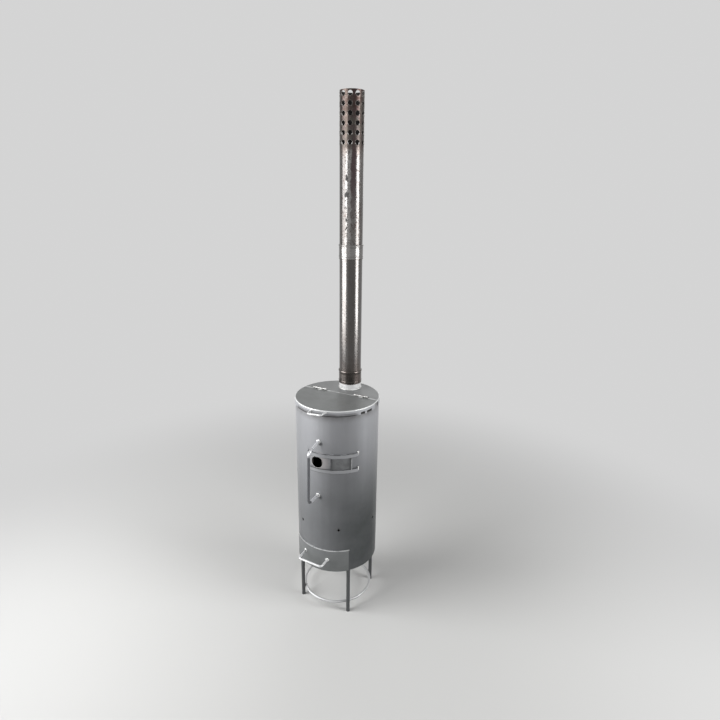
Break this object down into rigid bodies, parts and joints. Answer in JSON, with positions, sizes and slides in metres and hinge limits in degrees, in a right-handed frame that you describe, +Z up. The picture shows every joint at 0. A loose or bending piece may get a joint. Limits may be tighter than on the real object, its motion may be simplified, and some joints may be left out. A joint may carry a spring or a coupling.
{
  "type": "tent wood stove",
  "caption": "Upright round tent wood stove on legs with a hinged half lid, ash drawer, curved air slide, carrying handle and a sectional stove pipe with a perforated end.",
  "frame": {"origin": "on the floor, on the axis of the round firebox, at the centre of the four legs", "axes": "+Z up along the firebox axis; -Y is the front with the drawer and the handles; +X is to the right seen along +Y"},
  "size_m": [0.304, 0.3718, 1.8423],
  "materials": {
    "heat_paint": "satin aluminium heat-resistant paint",
    "top_paint": "heat-dulled aluminium paint, smooth",
    "pipe_steel": "bare rolled steel with brown heat tint and soot marks",
    "bare_steel": "bare mild steel, lightly scaled",
    "grate_iron": "rough, sooty"
  },
  "bodies": {
    "stove": {"firebox_shell": "heat_paint", "bottom_plate": "heat_paint", "rear_top_plate": "top_paint", "lid_rest_bar": "bare_steel", "flue_collar": "heat_paint", "left_hinge_fixed_knuckles": "bare_steel", "left_hinge_pin": "bare_steel", "right_hinge_fixed_knuckles": "bare_steel", "right_hinge_pin": "bare_steel", "carrying_handle": "heat_paint", "upper_air_guide": "heat_paint", "lower_air_guide": "heat_paint", "left_runner": "bare_steel", "right_runner": "bare_steel", "grate_lugs": "bare_steel", "front_left_leg": "heat_paint", "front_right_leg": "heat_paint", "rear_left_leg": "heat_paint", "rear_right_leg": "heat_paint", "foot_ring": "heat_paint"},
    "lid": {"loading_lid": "top_paint", "lid_handle": "heat_paint", "left_hinge_lid_knuckle": "bare_steel", "right_hinge_lid_knuckle": "bare_steel"},
    "air_control": {"air_slide": "heat_paint"},
    "ash_drawer": {"drawer_front": "heat_paint", "ash_tray": "bare_steel", "drawer_handle": "heat_paint"},
    "fire_grate": {"grate": "grate_iron"},
    "chimney_lower": {"lower_pipe": "pipe_steel"},
    "chimney_upper": {"upper_pipe": "pipe_steel"}
  },
  "joints": [
    {"name": "lid_hinge", "type": "hinge", "parent": "stove", "child": "lid", "pos_m": [0, 0.022, 0.8426], "axis": [-1, 0, 0], "range_deg": [0, 100]},
    {"name": "air_slide_turn", "type": "hinge", "parent": "stove", "child": "air_control", "pos_m": [0, 0, 0.641], "axis": [0, 0, 1], "range_deg": [-32.5, 8]},
    {"name": "drawer_pull", "type": "slide", "parent": "stove", "child": "ash_drawer", "axis": [0, -1, 0], "range_m": [0, 0.17]},
    {"name": "grate_lift", "type": "slide", "parent": "stove", "child": "fire_grate", "axis": [0, 0, 1], "range_m": [0, 0.2]},
    {"name": "lower_pipe_lift", "type": "slide", "parent": "stove", "child": "chimney_lower", "axis": [0, 0, 1], "range_m": [0, 0.06]},
    {"name": "upper_pipe_lift", "type": "slide", "parent": "chimney_lower", "child": "chimney_upper", "axis": [0, 0, 1], "range_m": [0, 0.06]}
  ]
}
